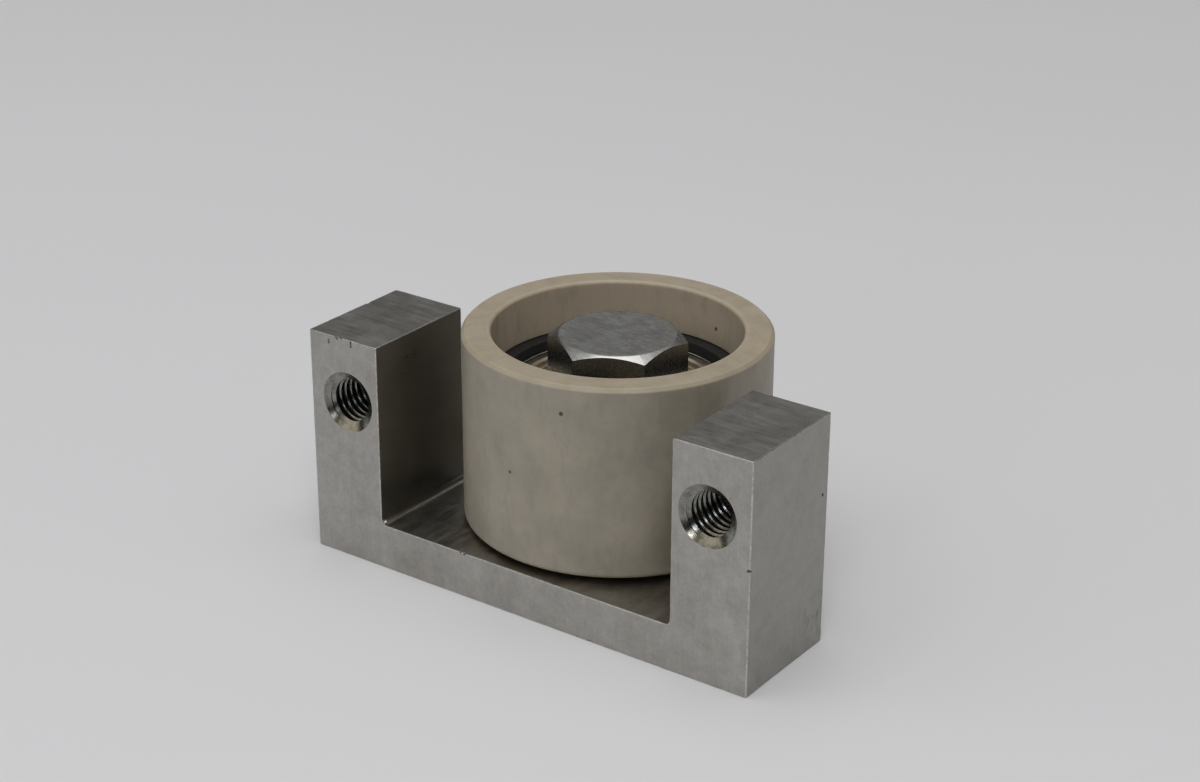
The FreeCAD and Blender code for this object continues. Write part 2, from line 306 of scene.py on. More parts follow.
# ---------------------------------------------------------------- node trees
class Tree:
    """Short forms for the nodes of one procedural material, in object space in metres."""

    def __init__(self, name):
        self.material = bpy.data.materials.new(name)
        self.material.use_nodes = True
        self.nodes = self.material.node_tree.nodes
        self.links = self.material.node_tree.links
        self.nodes.clear()
        output = self.nodes.new("ShaderNodeOutputMaterial")
        self.shader = self.nodes.new("ShaderNodeBsdfPrincipled")
        self.links.new(self.shader.outputs["BSDF"], output.inputs["Surface"])
        self.texture = self.nodes.new("ShaderNodeTexCoord")
        self.place = self.texture.outputs["Object"]
        self.normal = self.texture.outputs["Normal"]

    def node(self, kind, **inputs):
        """A node with its inputs given by name: a socket is linked, anything else is set."""
        made = self.nodes.new("ShaderNode" + kind)
        for name, value in inputs.items():
            self.feed(made.inputs[name.replace("_", " ")], value)
        return made

    def feed(self, socket, value):
        if isinstance(value, bpy.types.NodeSocket):
            self.links.new(value, socket)
        else:
            socket.default_value = value

    def stretch(self, x=1.0, y=1.0, z=1.0, turn=(0.0, 0.0, 0.0), source=None):
        made = self.node("Mapping", Vector=source or self.place, Scale=(x, y, z))
        made.inputs["Rotation"].default_value = [math.radians(t) for t in turn]
        return made.outputs["Vector"]

    def noise(self, size_mm, detail=3.0, roughness=0.55, source=None, distortion=0.0):
        """Noise from about 0.25 to 0.75 whose features are about size_mm across."""
        made = self.node(
            "TexNoise", Vector=source or self.place, Scale=1 / (size_mm * MM),
            Detail=detail, Roughness=roughness, Distortion=distortion)
        return made.outputs["Fac"]

    def cells(self, size_mm, source=None):
        made = self.node("TexVoronoi", Vector=source or self.place, Scale=1 / (size_mm * MM))
        return made.outputs["Distance"]

    def ramp(self, value, low, high, out_low=0.0, out_high=1.0):
        made = self.node("MapRange", Value=value)
        for name, number in (("From Min", low), ("From Max", high), ("To Min", out_low), ("To Max", out_high)):
            made.inputs[name].default_value = number
        return made.outputs["Result"]

    def math(self, operation, a, b=0.0):
        made = self.nodes.new("ShaderNodeMath")
        made.operation = operation
        self.feed(made.inputs[0], a)
        self.feed(made.inputs[1], b)
        return made.outputs["Value"]

    def blend(self, share, a, b):
        """Number between a and b."""
        made = self.nodes.new("ShaderNodeMix")
        self.feed(made.inputs[0], share)
        self.feed(made.inputs[2], a)
        self.feed(made.inputs[3], b)
        return made.outputs[0]

    def mix(self, share, a, b):
        """Colour between a and b."""
        made = self.nodes.new("ShaderNodeMix")
        made.data_type = "RGBA"
        factor, color_a, color_b = made.inputs[0], made.inputs[6], made.inputs[7]
        self.feed(factor, share)
        self.feed(color_a, a if isinstance(a, bpy.types.NodeSocket) else (*a, 1.0))
        self.feed(color_b, b if isinstance(b, bpy.types.NodeSocket) else (*b, 1.0))
        return made.outputs[2]

    def split(self, vector):
        return self.node("SeparateXYZ", Vector=vector).outputs

    def near(self, point_mm, radius_mm, soft_mm):
        """1 within a radius of a point, falling to 0 over a soft edge."""
        offset = self.nodes.new("ShaderNodeVectorMath")
        offset.operation = "DISTANCE"
        self.links.new(self.place, offset.inputs[0])
        offset.inputs[1].default_value = [c * MM for c in point_mm]
        return self.ramp(offset.outputs["Value"], radius_mm * MM, (radius_mm + soft_mm) * MM, 1.0, 0.0)

    def radius(self):
        """Distance from the roller's axis, in metres."""
        sides = self.split(self.place)
        y = self.math("SUBTRACT", sides["Y"], AXIS.y * MM)
        return self.math("SQRT", self.math("ADD", self.math("POWER", sides["X"], 2.0), self.math("POWER", y, 2.0)))

    def rings(self, pitch_mm, wander=0.35):
        """Turning marks: circles about the roller's axis with an uneven pitch."""
        along = self.math("DIVIDE", self.radius(), pitch_mm * MM)
        uneven = self.math("MULTIPLY", self.noise(3.0), wander)
        return self.line_noise(self.math("ADD", along, uneven))

    def line_noise(self, value):
        made = self.nodes.new("ShaderNodeTexNoise")
        made.noise_dimensions = "1D"
        self.links.new(value, made.inputs["W"])
        made.inputs["Scale"].default_value = 1.0
        made.inputs["Detail"].default_value = 2.0
        return made.outputs["Fac"]

    def bump(self, height, strength, distance_mm, below=None):
        made = self.node("Bump", Height=height, Strength=strength, Distance=distance_mm * MM)
        if below is not None:
            self.links.new(below, made.inputs["Normal"])
        return made.outputs["Normal"]

    def surface(self, **values):
        for name, value in values.items():
            self.feed(self.shader.inputs[name.replace("_", " ")], value)
        return self.material


# ---------------------------------------------------------------- materials
STEEL_LIGHT = (0.53, 0.515, 0.485)
STEEL_DARK = (0.37, 0.355, 0.33)


def machined_steel():
    """Bracket faces: satin, mottled by fine grinding, with cutter marks on top and in the slot, and painted shade
    on the slot walls.
    """
    t = Tree("machined_steel")
    facing = t.split(t.normal)
    at = t.split(t.place)
    upward = t.ramp(t.math("ABSOLUTE", facing["Z"]), 0.5, 0.9)
    across = t.math("ABSOLUTE", at["X"])
    beside = t.ramp(across, (SLOT_HALF + 0.02) * MM, (SLOT_HALF + 0.06) * MM, 1.0, 0.0)
    slot = t.math("MULTIPLY", beside, t.ramp(at["Z"], (WEB_TOP - 0.06) * MM, (WEB_TOP - 0.02) * MM))
    shaded_slot_wall = t.math("MULTIPLY", slot, t.ramp(t.math("ABSOLUTE", facing["X"]), 0.5, 0.9))
    end = t.ramp(across, (HALF_LENGTH - 0.1) * MM, (HALF_LENGTH - 0.02) * MM)
    fine = t.noise(0.5, 4.0, 0.65)
    patch = t.noise(7.0, 3.0, 0.6, distortion=0.6)
    blotch = t.noise(2.6, 4.0, 0.65, distortion=0.4)
    streak = t.noise(1.0, 3.0, 0.6, t.stretch(2.2, 2.2, 0.16))
    smear = t.noise(1.2, 3.0, 0.6, t.stretch(0.14, 2.0, 1.0, turn=(0, 0, 24)))
    passes = t.noise(0.9, 3.0, 0.6, t.stretch(1.0, 0.1, 2.0))
    grain = t.blend(upward, streak, smear)
    grain = t.blend(slot, grain, passes)
    coarse = t.math("ADD", t.math("MULTIPLY", patch, 0.35), t.math("MULTIPLY", blotch, 0.25))
    close = t.math("ADD", t.math("MULTIPLY", fine, 0.22), t.math("MULTIPLY", grain, 0.18))
    tone = t.math("ADD", coarse, close)
    color = t.mix(t.ramp(tone, 0.38, 0.62), STEEL_DARK, STEEL_LIGHT)
    scuff = t.ramp(t.noise(0.7, 3.0, 0.6, t.stretch(1.0, 1.0, 0.35)), 0.56, 0.66)
    low_right = t.near((HALF_LENGTH, BACK_Y - 3.0, 4.0), 3.0, 7.0)
    color = t.mix(t.math("MULTIPLY", t.math("MULTIPLY", scuff, low_right), 0.6), color, (0.17, 0.165, 0.155))
    # Painted shade: the arms' inner faces in the slot, beside the roller, are darkened and evened out.
    color = t.mix(t.math("MULTIPLY", shaded_slot_wall, 0.7), color, (0.39, 0.385, 0.365))
    color = t.mix(t.math("MULTIPLY", end, 0.4), color, (0.30, 0.295, 0.28))
    stain = t.math("MULTIPLY", t.near((-27.2, FRONT_Y, 2.4), 0.3, 4.0), t.noise(1.5))
    color = t.mix(t.math("MULTIPLY", stain, 0.7), color, (0.25, 0.23, 0.2))
    rough = t.math("ADD", t.ramp(patch, 0.3, 0.7, 0.36, 0.44), t.ramp(grain, 0.3, 0.7, -0.04, 0.06))
    rough = t.math("SUBTRACT", rough, t.math("MULTIPLY", shaded_slot_wall, 0.06))
    relief = t.math("ADD", t.math("MULTIPLY", grain, 0.7), t.math("MULTIPLY", fine, 0.5))
    relief = t.math("MULTIPLY", relief, t.ramp(shaded_slot_wall, 0.0, 1.0, 1.0, 0.3))
    return t.surface(
        Base_Color=color, Metallic=1.0, Roughness=rough, Normal=t.bump(relief, 0.35, 0.02))


def worn_edge():
    """Edges of the bracket, burnished and nicked."""
    t = Tree("worn_edge")
    worn = t.ramp(t.noise(0.9, 4.0, 0.7), 0.35, 0.6)
    color = t.mix(worn, (0.42, 0.41, 0.385), (0.62, 0.61, 0.59))
    dent = t.noise(0.4, 3.0, 0.6)
    return t.surface(
        Base_Color=color, Metallic=1.0, Roughness=t.ramp(worn, 0.0, 1.0, 0.44, 0.3),
        Normal=t.bump(dent, 0.4, 0.04))


def dented_steel():
    """Nicks and dents: rough, dirty in their hollows."""
    t = Tree("dented_steel")
    dirt = t.ramp(t.noise(0.35, 3.0, 0.6), 0.4, 0.65)
    return t.surface(
        Base_Color=t.mix(dirt, (0.42, 0.41, 0.39), (0.16, 0.15, 0.13)), Metallic=1.0,
        Roughness=t.ramp(dirt, 0.0, 1.0, 0.35, 0.6), Normal=t.bump(dirt, 0.4, 0.03))


def cut_thread():
    """Countersinks and threads: smooth tool-cut steel, with a painted warm reflection low in the mouths, painted
    shade deep inside, and patchy grime.
    """
    t = Tree("cut_thread")
    at = t.split(t.place)
    marks = t.noise(0.35, 3.0, 0.6, t.stretch(1.0, 3.0, 1.0))
    grime = t.ramp(t.noise(1.4, 4.0, 0.7), 0.42, 0.66)
    lit_near_mouth = t.ramp(t.math("ABSOLUTE", at["Y"]), (BACK_Y - 8.5) * MM, (BACK_Y - 1.2) * MM)
    below = t.ramp(at["Z"], (TAP_Z - 4.4) * MM, (TAP_Z - 3.2) * MM, 1.0, 0.0)
    # Painted shade: the steel darkens from each mouth towards the middle of the bore.
    color = t.mix(lit_near_mouth, (0.26, 0.255, 0.24), (0.31, 0.31, 0.296))
    # Painted reflection: a warm beige patch on the lower part of each mouth, near the face.
    color = t.mix(t.math("MULTIPLY", below, lit_near_mouth), color, (0.50, 0.46, 0.36))
    color = t.mix(t.math("MULTIPLY", grime, 0.6), color, (0.13, 0.115, 0.085))
    rough = t.math("ADD", t.ramp(marks, 0.3, 0.7, 0.15, 0.24), t.math("MULTIPLY", grime, 0.12))
    return t.surface(
        Base_Color=color, Metallic=1.0, Roughness=rough, Normal=t.bump(marks, 0.25, 0.012))


ROLLER_SPECKS = (
    # turn about the axis from +X in degrees, height, radius of the speck, on the outside?
    (285.4, 42.8, 0.28, True),
    (263.8, 28.5, 0.18, True),
    (72.2, 42.1, 0.26, False),
    (20.0, 30.0, 0.22, True),
    (140.0, 24.0, 0.2, True),
)


def roller_plastic():
    """Aged acetal: warm beige, slightly glossy, with turning marks, grey rub marks, dark specks and painted light
    on the recess wall.
    """
    t = Tree("roller_plastic")
    cloud = t.noise(11.0, 3.0, 0.6)
    mottle = t.noise(1.6, 4.0, 0.65)
    turned = t.noise(0.5, 2.0, 0.5, t.stretch(0.05, 0.05, 1.6))
    facing = t.split(t.normal)
    flat = t.ramp(t.math("ABSOLUTE", facing["Z"]), 0.3, 0.8)
    inside = t.ramp(t.radius(), (RECESS_RADIUS + 0.02) * MM, (RECESS_RADIUS + 0.9) * MM, 1.0, 0.0)
    color = t.mix(t.ramp(cloud, 0.35, 0.65), (0.352, 0.322, 0.262), (0.42, 0.38, 0.312))
    color = t.mix(t.math("MULTIPLY", t.ramp(mottle, 0.45, 0.75), 0.3), color, (0.32, 0.295, 0.26))
    smudge = t.ramp(t.noise(2.4, 4.0, 0.7, t.stretch(1.0, 1.0, 0.3)), 0.52, 0.7)
    color = t.mix(t.math("MULTIPLY", smudge, 0.3), color, (0.25, 0.24, 0.215))
    stain = t.ramp(t.noise(3.5, 5.0, 0.7), 0.45, 0.62)
    color = t.mix(t.math("MULTIPLY", flat, 0.6), color, (0.51, 0.435, 0.325))
    color = t.mix(t.math("MULTIPLY", t.math("MULTIPLY", flat, stain), 0.35), color, (0.36, 0.27, 0.17))
    # Painted light: the wall of the bearing recess is made lighter, standing in for light that reaches into it.
    color = t.mix(t.math("MULTIPLY", inside, 0.75), color, (0.55, 0.475, 0.375))
    color = t.mix(t.math("MULTIPLY", t.math("MULTIPLY", inside, smudge), 0.35), color, (0.3, 0.27, 0.22))
    rub = t.ramp(t.noise(4.0, 4.0, 0.7, t.stretch(1.0, 1.0, 0.45)), 0.56, 0.72)
    color = t.mix(t.math("MULTIPLY", rub, 0.25), color, (0.30, 0.29, 0.27))
    dust = t.ramp(t.cells(1.3), 0.03, 0.055, 1.0, 0.0)
    dust = t.math("MULTIPLY", dust, t.ramp(t.noise(5.0), 0.56, 0.62))
    color = t.mix(t.math("MULTIPLY", dust, 0.3), color, (0.12, 0.1, 0.08))
    for turn, height, size, outside in ROLLER_SPECKS:
        reach = ROLLER_RADIUS if outside else RECESS_RADIUS
        a = math.radians(turn)
        place = (AXIS.x + reach * math.cos(a), AXIS.y + reach * math.sin(a), height)
        color = t.mix(t.math("MULTIPLY", t.near(place, size, 0.25), 0.9), color, (0.05, 0.04, 0.035))
    relief = t.math("ADD", t.math("MULTIPLY", turned, 0.6), t.math("MULTIPLY", mottle, 0.6))
    rough = t.math("ADD", t.ramp(cloud, 0.3, 0.7, 0.42, 0.52), t.math("MULTIPLY", rub, 0.12))
    return t.surface(
        Base_Color=color, Roughness=rough, IOR=1.48, Subsurface_Weight=0.4,
        Subsurface_Radius=(1.0, 0.7, 0.45), Subsurface_Scale=2.5 * MM, Normal=t.bump(relief, 0.3, 0.03))


def bolt_steel():
    """Forged stainless head: grey scratched top, brighter chamfer, dark smooth flats."""
    t = Tree("bolt_steel")
    facing = t.split(t.normal)
    top = t.ramp(facing["Z"], 0.96, 0.995)
    upright = t.ramp(t.math("ABSOLUTE", facing["Z"]), 0.1, 0.6, 1.0, 0.0)
    pits = t.noise(0.55, 4.0, 0.65)
    swirl = t.noise(1.1, 3.0, 0.6, t.stretch(0.3, 2.0, 1.0, turn=(0, 0, -33)))
    bruise = t.noise(4.5, 4.0, 0.7, distortion=0.8)
    tone = t.math("ADD", t.math("MULTIPLY", pits, 0.5), t.math("MULTIPLY", swirl, 0.5))
    bright = t.mix(t.ramp(tone, 0.35, 0.65), (0.50, 0.495, 0.475), (0.62, 0.615, 0.60))
    dull = t.mix(t.ramp(tone, 0.35, 0.65), (0.49, 0.485, 0.465), (0.65, 0.645, 0.62))
    dull = t.mix(t.ramp(bruise, 0.45, 0.7, 0.0, 0.55), dull, (0.36, 0.35, 0.33))
    scratch = t.ramp(t.noise(0.5, 2.0, 0.5, t.stretch(0.18, 2.4, 1.0, turn=(0, 0, 20))), 0.6, 0.65)
    dull = t.mix(t.math("MULTIPLY", scratch, 0.7), dull, (0.9, 0.89, 0.87))
    color = t.mix(upright, t.mix(top, bright, dull), (0.52, 0.525, 0.505))
    rough = t.math("ADD", t.ramp(top, 0.0, 1.0, 0.26, 0.38), t.ramp(tone, 0.3, 0.7, -0.05, 0.06))
    relief = t.math("MULTIPLY", tone, t.ramp(upright, 0.0, 1.0, 1.0, 0.08))
    return t.surface(Base_Color=color, Metallic=1.0, Roughness=rough, Normal=t.bump(relief, 0.45, 0.03))


def turned_steel(name, light, dark, rough_low, rough_high, pitch_mm=0.12):
    """Steel rings with fine circular marks about the roller's axis."""
    t = Tree(name)
    marks = t.rings(pitch_mm)
    haze = t.noise(2.4, 4.0, 0.6)
    tone = t.math("ADD", t.math("MULTIPLY", marks, 0.6), t.math("MULTIPLY", haze, 0.4))
    return t.surface(
        Base_Color=t.mix(t.ramp(tone, 0.35, 0.65), dark, light), Metallic=1.0,
        Roughness=t.ramp(tone, 0.3, 0.7, rough_low, rough_high), Normal=t.bump(marks, 0.3, 0.01))


def black_ring_steel():
    """Phosphated spring steel with a little oil and some bare spots."""
    t = Tree("black_ring_steel")
    bare = t.ramp(t.noise(0.9, 4.0, 0.7), 0.62, 0.72)
    grain = t.noise(0.18, 2.0)
    color = t.mix(t.math("MULTIPLY", bare, 0.5), (0.06, 0.06, 0.062), (0.19, 0.185, 0.175))
    return t.surface(
        Base_Color=color, Metallic=0.4, Roughness=t.ramp(grain, 0.3, 0.7, 0.34, 0.5),
        Normal=t.bump(grain, 0.3, 0.01))


def ball_steel():
    t = Tree("ball_steel")
    film = t.noise(1.5, 3.0, 0.6)
    return t.surface(
        Base_Color=t.mix(t.ramp(film, 0.35, 0.7), (0.66, 0.66, 0.66), (0.54, 0.52, 0.48)), Metallic=1.0,
        Roughness=t.ramp(film, 0.3, 0.7, 0.05, 0.12), Normal=t.bump(film, 0.05, 0.005))


def cage_plastic():
    t = Tree("cage_plastic")
    grain = t.noise(0.35, 3.0, 0.6)
    flow = t.noise(3.0, 3.0, 0.6)
    return t.surface(
        Base_Color=t.mix(t.ramp(flow, 0.35, 0.65), (0.05, 0.06, 0.045), (0.09, 0.1, 0.075)),
        Roughness=t.ramp(grain, 0.3, 0.7, 0.4, 0.55), Normal=t.bump(grain, 0.3, 0.015))


def pale_sweep():
    t = Tree("pale_sweep")
    return t.surface(
        Base_Color=t.mix(t.ramp(t.noise(300.0, 2.0), 0.3, 0.7), (0.79, 0.79, 0.80), (0.81, 0.81, 0.82)),
        Roughness=0.85)


STEEL = machined_steel()
EDGE = worn_edge()
THREAD = cut_thread()
DENT = dented_steel()
PLASTIC = roller_plastic()
BOLT = bolt_steel()
GROUND = turned_steel("ground_ring_steel", (0.60, 0.60, 0.59), (0.42, 0.42, 0.41), 0.2, 0.34)
SHIELD = turned_steel("shield_steel", (0.64, 0.585, 0.49), (0.45, 0.40, 0.33), 0.26, 0.4, 0.3)
TURNED = turned_steel("turned_steel", (0.56, 0.55, 0.53), (0.4, 0.39, 0.37), 0.26, 0.4, 0.2)
BLACK = black_ring_steel()
BALLS = ball_steel()
CAGE = cage_plastic()


# ---------------------------------------------------------------- bracket
BRACKET_FINISHES = (STEEL, EDGE, THREAD, DENT)


def bracket_blank():
    """U block with its tongue, before holes and edge rounding."""
    f = SLOT_FILLET
    u_outline = [(-HALF_LENGTH, 0), (HALF_LENGTH, 0), (HALF_LENGTH, ARM_HEIGHT), (SLOT_HALF, ARM_HEIGHT)]
    u_outline += arc(SLOT_HALF - f, WEB_TOP + f, f, 0, -90, 6)
    u_outline += arc(-SLOT_HALF + f, WEB_TOP + f, f, -90, -180, 6)
    u_outline += [(-SLOT_HALF, ARM_HEIGHT), (-HALF_LENGTH, ARM_HEIGHT)]
    bm = bmesh.new()
    prism(bm, u_outline, FRONT_Y, BACK_Y, lambda x, z, y: (x, y, z))
    block = mesh_object("bracket_body", bm, BRACKET_FINISHES)
    r = TONGUE_RADIUS
    t = TONGUE_FILLET
    outline = [(-r - t, 0), (r + t, 0)]
    outline += arc(r + t, BACK_Y + t, t, -90, -180, 8)
    outline += arc(AXIS.x, AXIS.y, r, 0, 180, 40)
    outline += arc(-r - t, BACK_Y + t, t, 0, -90, 8)
    bm = bmesh.new()
    prism(bm, outline, 0, WEB_TOP, lambda x, y, z: (x, y, z))
    combine(block, mesh_object("tongue", bm, BRACKET_FINISHES), "UNION")
    return block


def tidy_blank(block):
    """Merge flush faces, cut long edges into short ones, round every sharp edge a little unevenly."""
    bm = bmesh.new()
    bm.from_mesh(block.data)
    bm.transform(Matrix.Scale(1 / MM, 4))
    bmesh.ops.remove_doubles(bm, verts=bm.verts, dist=0.001)
    bmesh.ops.dissolve_limit(bm, angle_limit=math.radians(1), verts=bm.verts, edges=bm.edges)
    sharp = [e for e in bm.edges if e.calc_face_angle(0) > math.radians(50)]
    for edge in sharp:
        pieces = int(edge.calc_length() / 1.6)
        if pieces > 1:
            bmesh.ops.subdivide_edges(bm, edges=[edge], cuts=pieces - 1)
    sharp = [e for e in bm.edges if e.calc_face_angle(0) > math.radians(50)]
    bmesh.ops.bevel(
        bm, geom=sharp, offset=EDGE_ROUND, offset_type="OFFSET", segments=3, profile=0.5,
        affect="EDGES", material=1, clamp_overlap=True)
    for vertex in bm.verts:
        wobble = noise.noise_vector(vertex.co * 0.9) * 0.035 + noise.noise_vector(vertex.co * 4.1) * 0.02
        if all(face.material_index == 0 for face in vertex.link_faces):
            continue
        inward = -vertex.normal * max(0.0, wobble.length - 0.012)
        vertex.co += inward
    bm.transform(Matrix.Scale(MM, 4))
    bm.to_mesh(block.data)
    bm.free()


def countersink(x, side):
    """Cone-mouthed tool standing on the front (side -1) or back face (side 1)."""
    face_y = side * BACK_Y
    slope = math.tan(math.radians(TAP_MOUTH_ANGLE / 2))
    sink = (TAP_MOUTH - TAP_MINOR) / slope
    profile = [
        (0, sink + 3.0), (TAP_MINOR - 0.01, sink + 3.0), (TAP_MINOR - 0.01, sink),
        (TAP_MOUTH + slope * 0.5, -0.5), (TAP_MOUTH + slope * 0.5, -2.0), (0, -2.0),
    ]
    bm = bmesh.new()
    lathe(bm, profile, 96, lambda u, v, depth: (x + u, face_y - side * depth, TAP_Z + v), 2)
    return mesh_object("countersink", bm, BRACKET_FINISHES)


def tap(x):
    """Threaded tool right through an arm."""
    bm = bmesh.new()
    thread_solid(
        bm, Vector((x, FRONT_Y - 1.6, TAP_Z)), Vector((0, 1, 0)), TAP_MINOR, TAP_MAJOR, TAP_PITCH,
        2 * BACK_Y + 4.5, crest=0.125, root=0.3, material=2)
    return mesh_object("tap", bm, BRACKET_FINISHES)


NICKS = (
    # place on an edge or face, length along each axis
    ((-42.6, FRONT_Y, 45.9), (0.9, 0.35, 0.5)),
    ((-39.7, FRONT_Y, 45.2), (0.3, 0.25, 0.7)),
    ((-45.2, FRONT_Y, 44.6), (0.22, 0.2, 0.5)),
    ((HALF_LENGTH, FRONT_Y, 25.2), (0.7, 0.5, 0.28)),
    ((HALF_LENGTH, 11.0, 30.5), (0.25, 0.35, 0.3)),
    ((HALF_LENGTH, BACK_Y, 38.0), (0.3, 0.3, 0.8)),
    ((-13.5, FRONT_Y, WEB_TOP), (0.8, 0.4, 0.35)),
    ((16.0, FRONT_Y, 0.0), (0.6, 0.4, 0.35)),
    ((-HALF_LENGTH, 4.0, ARM_HEIGHT), (0.4, 0.7, 0.3)),
    ((36.5, BACK_Y, ARM_HEIGHT), (0.7, 0.3, 0.3)),
)


BURR = ((-SLOT_HALF + 0.5, FRONT_Y + 0.45, WEB_TOP + 0.55), (0.42, 0.36, 0.36))


def lump(place, size, seed, finish):
    """Small uneven blob, cut away to leave a dent or added as a burr."""
    bm = bmesh.new()
    bmesh.ops.create_icosphere(bm, subdivisions=3, radius=1.0)
    for vertex in bm.verts:
        bulge = 1 + 0.5 * noise.noise(vertex.co * 1.7 + Vector((seed * 3.1, 0, 0)))
        vertex.co = Vector(place) + Vector([c * s * bulge for c, s in zip(vertex.co, size)])
    for face in bm.faces:
        face.material_index = finish
    return mesh_object("lump", bm, BRACKET_FINISHES)


def build_bracket():
    block = bracket_blank()
    tidy_blank(block)
    for x in (-TAP_X, TAP_X):
        for side in (-1, 1):
            combine(block, countersink(x, side), "DIFFERENCE")
        combine(block, tap(x), "DIFFERENCE")
    bm = bmesh.new()
    thread_solid(
        bm, Vector((AXIS.x, AXIS.y, -2.0)), Vector((0, 0, 1)), BOLT_MINOR + 0.06, BOLT_MAJOR + 0.06, BOLT_PITCH,
        WEB_TOP + 6, crest=0.15, root=0.25, material=2)
    combine(block, mesh_object("tongue_tap", bm, BRACKET_FINISHES), "DIFFERENCE")
    for seed, (place, size) in enumerate(NICKS):
        combine(block, lump(place, size, seed, 3), "DIFFERENCE")
    combine(block, lump(*BURR, len(NICKS), 1), "UNION")
    smooth(block, cut_materials=(2, 3))
    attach(block, "frame")
    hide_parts("bracket")


# ---------------------------------------------------------------- roller
def build_roller():
    """Tyre with softened rims, a bearing seat and a groove for each retaining ring."""
    top, bottom = ROLLER_HIGH.z, ROLLER_LOW.z
    groove_top = BEARING_TOP + GROOVE_WIDTH
    groove_bottom = BEARING_LOW.z - GROOVE_WIDTH
    profile = rounded([
        (RECESS_RADIUS, bottom, 0.8), (ROLLER_RADIUS, bottom, 1.1), (ROLLER_RADIUS, top - 0.75, 0.5),
        (ROLLER_RADIUS - 0.75, top, 0.5), (RECESS_RADIUS, top, 0.7),
        (RECESS_RADIUS, groove_top, 0.1), (GROOVE_RADIUS, groove_top, 0.15), (GROOVE_RADIUS, BEARING_TOP, 0.15),
        (BEARING_RADIUS, BEARING_TOP, 0.1), (BEARING_RADIUS, BEARING_LOW.z, 0.1),
        (GROOVE_RADIUS, BEARING_LOW.z, 0.15), (GROOVE_RADIUS, groove_bottom, 0.15),
        (RECESS_RADIUS, groove_bottom, 0.1),
    ])
    bm = bmesh.new()
    lathe(bm, profile, 256)
    tyre = mesh_object("roller_tyre", bm, (PLASTIC,))
    smooth(tyre, 40)
    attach(tyre, "roller")
    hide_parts("roller")


# ---------------------------------------------------------------- bolt
def hexagon(apothem, corner, steps=5, along=10):
    """Outline of a hexagon with rounded corners, turned by HEAD_TURN, with points along its flats."""
    size = apothem / math.cos(math.pi / 6)
    corners = []
    for i in range(6):
        a = HEAD_TURN + math.radians(60 * i)
        corners.append((size * math.cos(a), size * math.sin(a), corner))
    sparse = [Vector(p) for p in rounded(corners, steps)]
    outline = []
    for i, point in enumerate(sparse):
        following = sparse[(i + 1) % len(sparse)]
        pieces = along if (following - point).length > corner * 2 else 1
        outline += [point.lerp(following, k / pieces) for k in range(pieces)]
    return outline


def bolt_head(bm):
    """Hex head with a conical top chamfer, a washer face and the shank down to the tongue."""
    outline = hexagon(HEAD_APOTHEM, 0.35)
    top = BOLT_HIGH.z
    slope = math.tan(math.radians(30))
    under = BEARING_TOP + WASHER_FACE
    columns = []
    for point in outline:
        reach = point.length
        out = point / reach

        def at(r, z):
            return bm.verts.new((AXIS.x + out.x * r, AXIS.y + out.y * r, z))

        edge_z = top - (reach - HEAD_TOP_RADIUS) * slope
        columns.append([
            at(3.0, top - 0.10), at(7.0, top - 0.06), at(9.6, top - 0.02), at(HEAD_TOP_RADIUS - 0.35, top),
            at(HEAD_TOP_RADIUS - 0.1, top - 0.015), at(HEAD_TOP_RADIUS + 0.1, top - 0.07),
            at(reach - 0.12, edge_z + 0.05), at(reach - 0.02, edge_z - 0.02), at(reach, edge_z - 0.12),
            at(reach, under + 0.25), at(reach - 0.06, under + 0.08), at(reach - 0.25, under),
            at(WASHER_FACE_RADIUS + 0.1, under), at(WASHER_FACE_RADIUS, under - 0.1),
            at(WASHER_FACE_RADIUS, BEARING_TOP), at(BOLT_MAJOR, BEARING_TOP), at(BOLT_MAJOR, WEB_TOP + 1.2),
            at(BOLT_MINOR, WEB_TOP + 0.2),
        ])
    for i, this in enumerate(columns):
        other = columns[(i + 1) % len(columns)]
        for k in range(len(this) - 1):
            bm.faces.new((this[k], this[k + 1], other[k + 1], other[k]))
    crown = bm.verts.new((AXIS.x, AXIS.y, top - 0.11))
    foot = bm.verts.new((AXIS.x, AXIS.y, WEB_TOP + 0.2))
    for i, this in enumerate(columns):
        other = columns[(i + 1) % len(columns)]
        bm.faces.new((crown, this[0], other[0]))
        bm.faces.new((foot, other[-1], this[-1]))


def bolt_thread():
    """Screwed-in end, with a chamfered tip."""
    bm = bmesh.new()
    thread_solid(
        bm, Vector((AXIS.x, AXIS.y, -2.0)), Vector((0, 0, 1)), BOLT_MINOR, BOLT_MAJOR, BOLT_PITCH,
        WEB_TOP + 6, crest=0.11, root=0.29)
    thread = mesh_object("axle_bolt_thread", bm, (BOLT,))
    tip = BOLT_LOW.z
    bm = bmesh.new()
    lathe(bm, [
        (0, tip), (BOLT_MINOR - 0.3, tip), (BOLT_MAJOR + 0.1, tip + 1.1),
        (BOLT_MAJOR + 0.1, WEB_TOP + 0.9), (0, WEB_TOP + 0.9),
    ], 96)
    combine(thread, mesh_object("tip", bm, (BOLT,)), "INTERSECT")
    return thread


def build_bolt():
    bm = bmesh.new()
    bolt_head(bm)
    bolt = mesh_object("axle_bolt_steel", bm, (BOLT,))
    combine(bolt, bolt_thread(), "UNION")
    smooth(bolt, 38)
    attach(bolt, "frame")
    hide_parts("axle_bolt")


